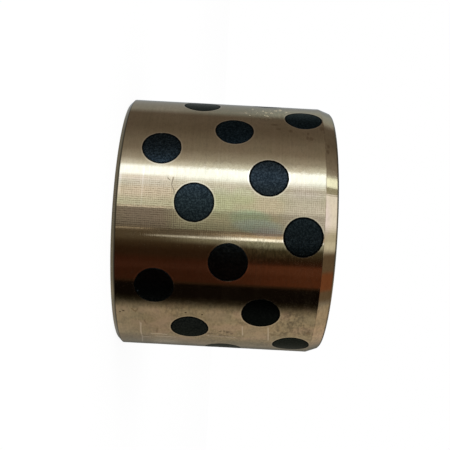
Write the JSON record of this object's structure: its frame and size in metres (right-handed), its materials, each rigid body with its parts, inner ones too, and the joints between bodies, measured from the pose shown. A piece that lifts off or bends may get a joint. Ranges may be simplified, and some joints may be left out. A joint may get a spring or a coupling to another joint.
{
  "type": "graphite plugged bushing",
  "caption": "Plain cylindrical bronze sleeve bearing with staggered round graphite plugs through its wall, a tapered press-in end and a chamfered plain end.",
  "frame": {"origin": "middle of the plain end, on the bore's axis", "axes": "+Z along the bore from the plain end to the tapered lead-in end; +X through the first plug of the lowest ring"},
  "size_m": [0.075, 0.075, 0.06],
  "materials": {
    "bronze": "fine-turned high-strength bronze with feed marks, slight stains and a few witness lines",
    "graphite": "matte near-black graphite with a fine grain"
  },
  "bodies": {
    "root": {"bronze_sleeve": "bronze", "graphite_plug_a1": "graphite", "graphite_plug_a2": "graphite", "graphite_plug_a3": "graphite", "graphite_plug_a4": "graphite", "graphite_plug_a5": "graphite", "graphite_plug_a6": "graphite", "graphite_plug_b1": "graphite", "graphite_plug_b2": "graphite", "graphite_plug_b3": "graphite", "graphite_plug_b4": "graphite", "graphite_plug_b5": "graphite", "graphite_plug_b6": "graphite", "graphite_plug_c1": "graphite", "graphite_plug_c2": "graphite", "graphite_plug_c3": "graphite", "graphite_plug_c4": "graphite", "graphite_plug_c5": "graphite", "graphite_plug_c6": "graphite", "graphite_plug_d1": "graphite", "graphite_plug_d2": "graphite", "graphite_plug_d3": "graphite", "graphite_plug_d4": "graphite", "graphite_plug_d5": "graphite", "graphite_plug_d6": "graphite", "graphite_plug_e1": "graphite", "graphite_plug_e2": "graphite", "graphite_plug_e3": "graphite", "graphite_plug_e4": "graphite", "graphite_plug_e5": "graphite", "graphite_plug_e6": "graphite"}
  },
  "joints": []
}
